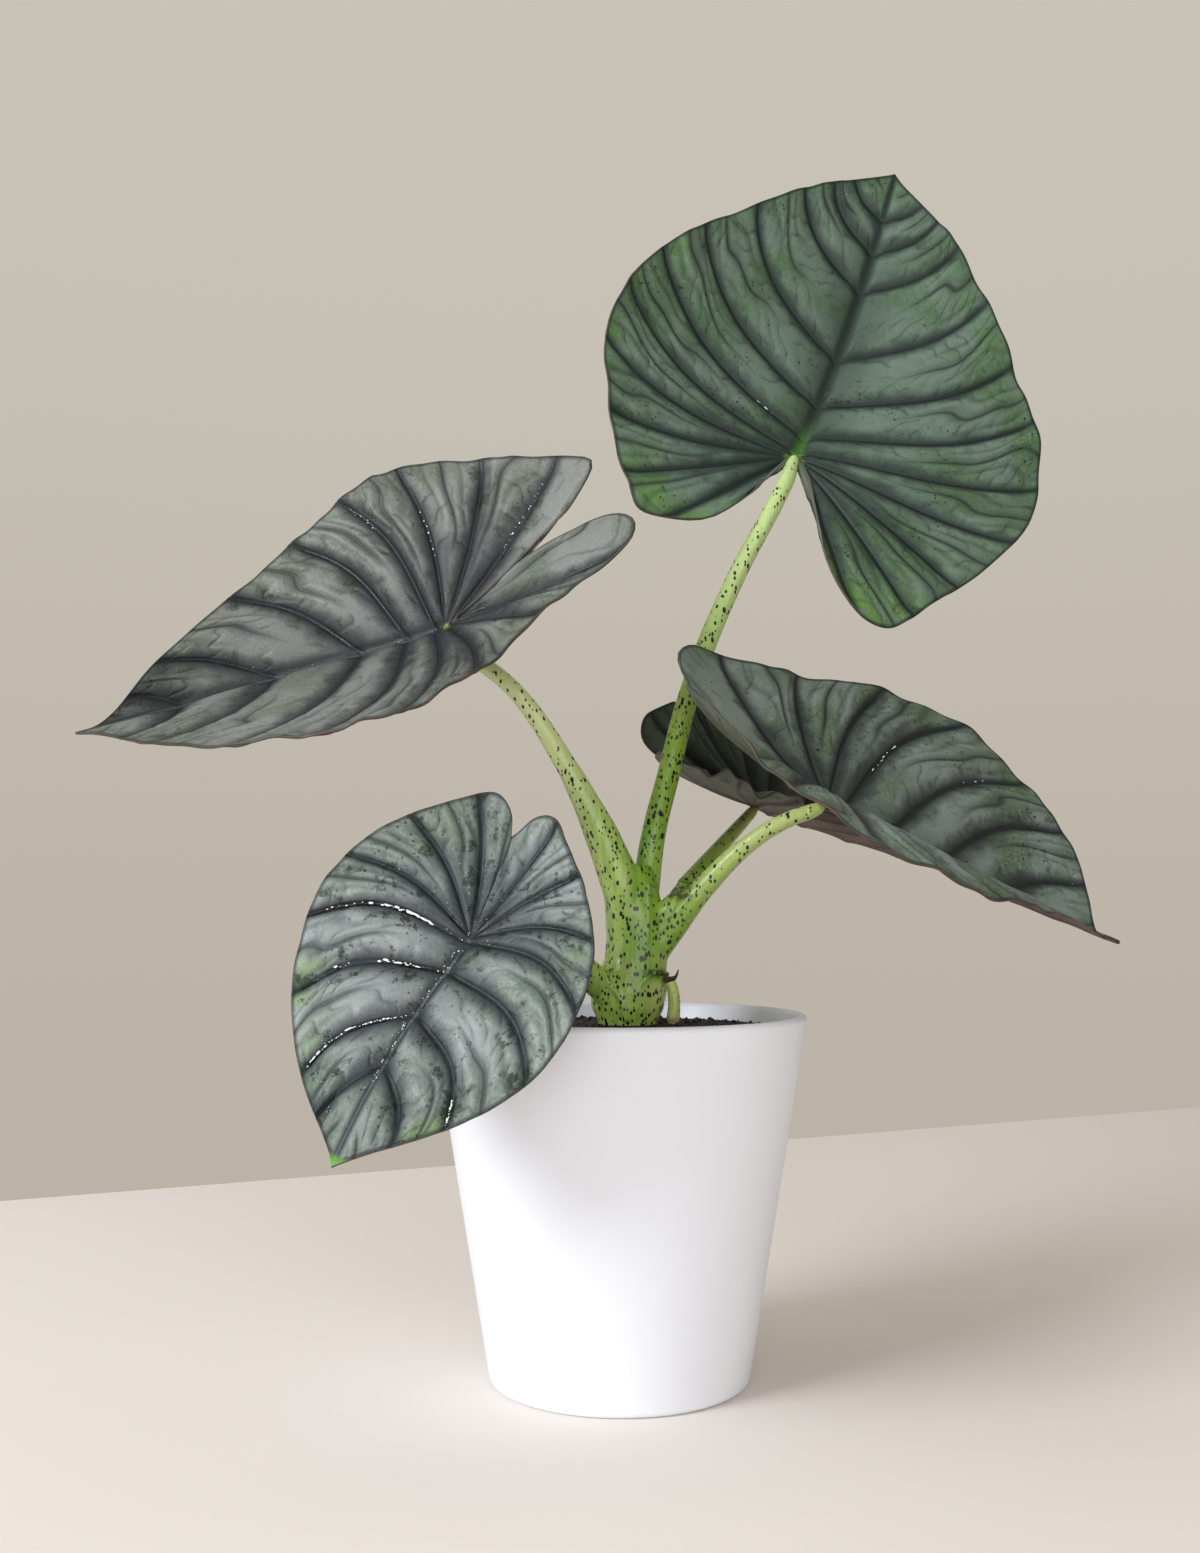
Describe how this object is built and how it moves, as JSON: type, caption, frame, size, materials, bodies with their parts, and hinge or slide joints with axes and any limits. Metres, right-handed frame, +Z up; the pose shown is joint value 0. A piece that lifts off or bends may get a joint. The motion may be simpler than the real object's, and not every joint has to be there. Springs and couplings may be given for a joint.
{
  "type": "potted alocasia plant",
  "caption": "Broad-leaved foliage plant on arching fleshy stalks from one swollen stem base, growing in a tapered glazed planter of soil.",
  "frame": {"origin": "middle of the planter's flat foot, on the surface it stands on", "axes": "+Z up, -Y towards the front of the plant, +X to the right of a person facing the front"},
  "size_m": [0.3557, 0.2155, 0.4707],
  "materials": {
    "pot_glaze": "satin",
    "soil": "rough",
    "stem": "satin",
    "stalk": "satin",
    "blade_green": "satin",
    "blade_silver": "satin",
    "blade_dark": "satin",
    "old_stalk": "satin",
    "dry_sheath": "matte"
  },
  "bodies": {
    "root": {"pot": "pot_glaze", "potting_soil": "soil", "stem_base": "stem", "stalk_tall": "stalk", "stalk_left": "stalk", "stalk_front": "stalk", "stalk_right": "stalk", "stalk_back": "stalk", "blade_tall": "blade_green", "blade_left": "blade_silver", "blade_front": "blade_silver", "blade_right": "blade_green", "blade_back": "blade_dark", "old_stalk": "old_stalk", "dry_sheath": "dry_sheath"}
  },
  "joints": []
}
